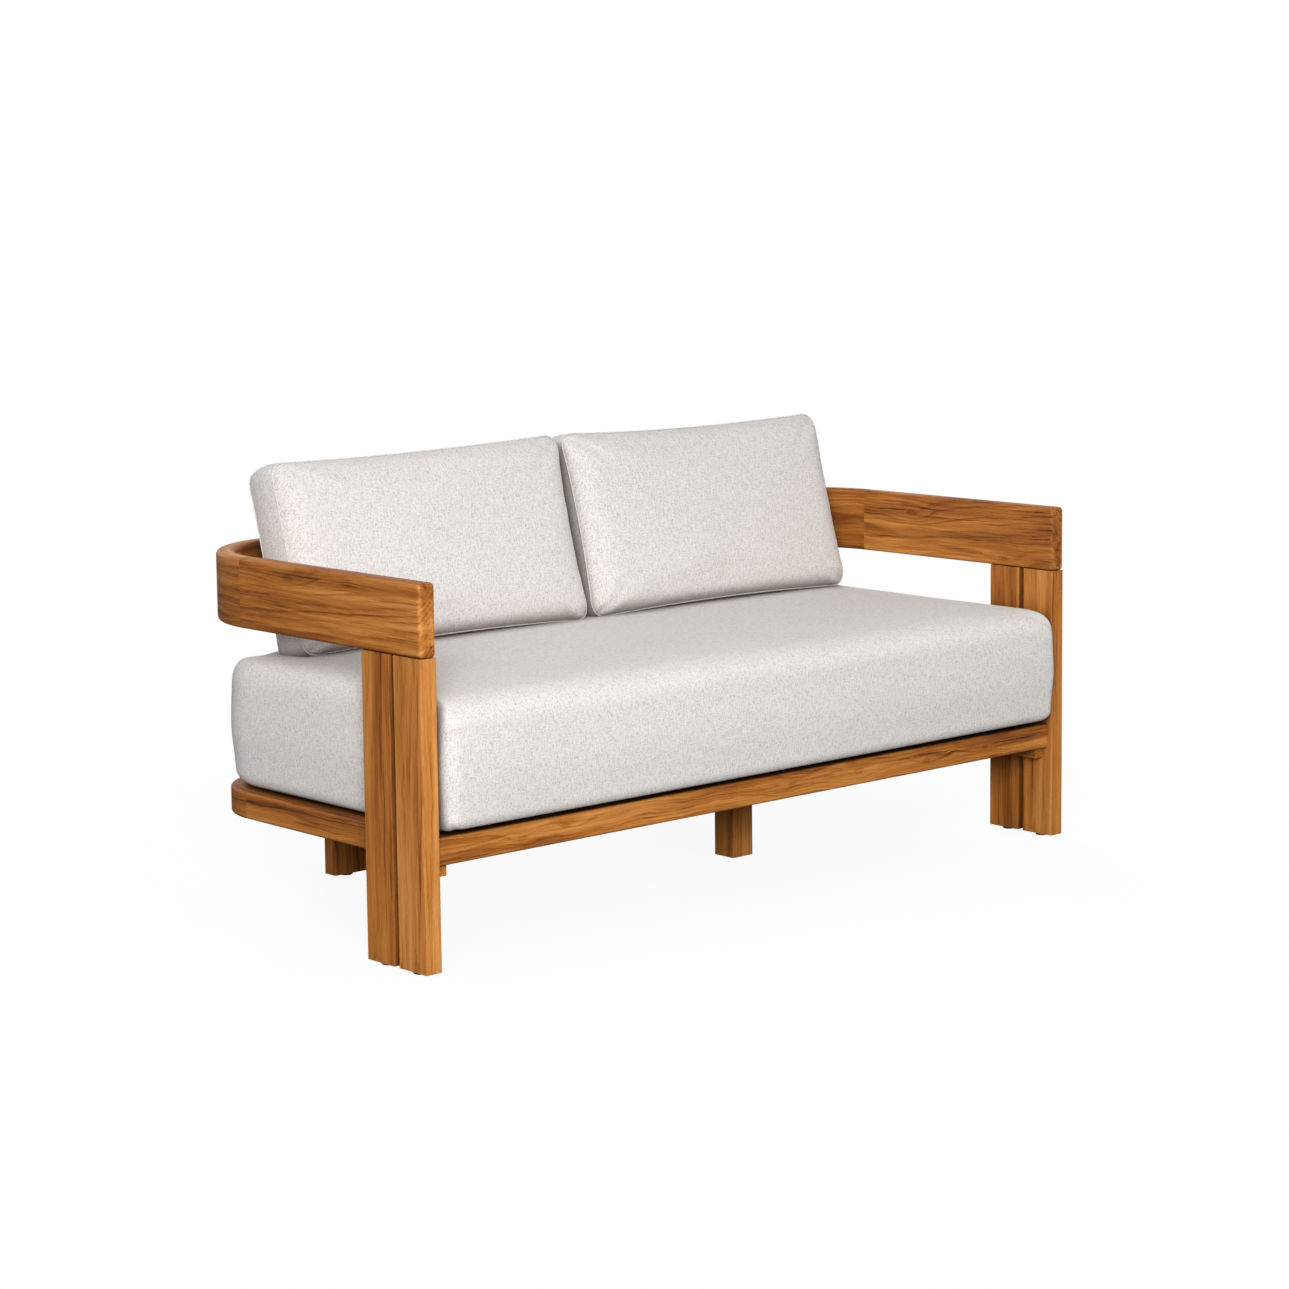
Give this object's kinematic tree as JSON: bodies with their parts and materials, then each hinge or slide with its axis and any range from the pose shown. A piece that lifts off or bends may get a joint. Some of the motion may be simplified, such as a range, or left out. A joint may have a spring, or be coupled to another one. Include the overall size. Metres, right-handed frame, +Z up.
{
  "type": "patio loveseat",
  "caption": "Two-seat outdoor sofa: bent wooden arm and back band on double-plank legs, slatted base, deep loose cushions.",
  "frame": {"origin": "on the floor, under the middle of the overall box", "axes": "+X to the right of a viewer in front, -Y is the front of the seat, +Z up"},
  "size_m": [1.65, 0.8, 0.8448],
  "materials": {
    "teak": "oiled, eased edges",
    "cushion_fabric": "woven outdoor fabric, light greige",
    "cushion_foam": "open-cell foam",
    "glide_plastic": "moulded",
    "fastener_steel": "stainless",
    "insert_brass": "turned",
    "dowel_beech": "turned, glued"
  },
  "bodies": {
    "frame": {"arm_board_left": "teak", "arm_board_right": "teak", "back_board": "teak", "back_corner_left": "teak", "back_corner_right": "teak", "band_dowels": "dowel_beech", "base_corner_left": "teak", "base_corner_right": "teak", "base_dowels": "dowel_beech", "cleat_screws": "fastener_steel", "cross_bearer_left": "teak", "cross_bearer_right": "teak", "front_cleat_left": "teak", "front_cleat_right": "teak", "front_leg_left_aft_plank": "teak", "front_leg_left_fore_plank": "teak", "front_leg_right_aft_plank": "teak", "front_leg_right_fore_plank": "teak", "front_rail": "teak", "ledger_screws": "fastener_steel", "leg_bolts": "fastener_steel", "leg_dowels": "dowel_beech", "leg_glides": "glide_plastic", "leg_inserts": "insert_brass", "rear_cleat_left": "teak", "rear_cleat_right": "teak", "rear_leg_left_inner_plank": "teak", "rear_leg_left_outer_plank": "teak", "rear_leg_right_inner_plank": "teak", "rear_leg_right_outer_plank": "teak", "rear_rail": "teak", "seat_slat_1": "teak", "seat_slat_2": "teak", "seat_slat_3": "teak", "seat_slat_4": "teak", "seat_slat_5": "teak", "seat_slat_6": "teak", "seat_slat_7": "teak", "seat_slat_8": "teak", "side_rail_left": "teak", "side_rail_right": "teak", "slat_ledger_left": "teak", "slat_ledger_right": "teak", "slat_screws": "fastener_steel", "support_post": "teak", "support_post_glide": "glide_plastic", "support_post_screws": "fastener_steel"},
    "seat_cushion_body": {"seat_cushion": "cushion_fabric", "seat_cushion_core": "cushion_foam"},
    "back_cushion_left_body": {"back_cushion_left": "cushion_fabric", "back_cushion_core_left": "cushion_foam"},
    "back_cushion_right_body": {"back_cushion_right": "cushion_fabric", "back_cushion_core_right": "cushion_foam"}
  },
  "joints": [
    {"name": "seat_cushion_slide", "type": "slide", "parent": "frame", "child": "seat_cushion_body", "axis": [0, -1, 0], "range_m": [0, 0.4]},
    {"name": "back_cushion_left_lift", "type": "slide", "parent": "seat_cushion_body", "child": "back_cushion_left_body", "axis": [0, 0, 1], "range_m": [0, 0.35]},
    {"name": "back_cushion_right_lift", "type": "slide", "parent": "seat_cushion_body", "child": "back_cushion_right_body", "axis": [0, 0, 1], "range_m": [0, 0.35]}
  ]
}
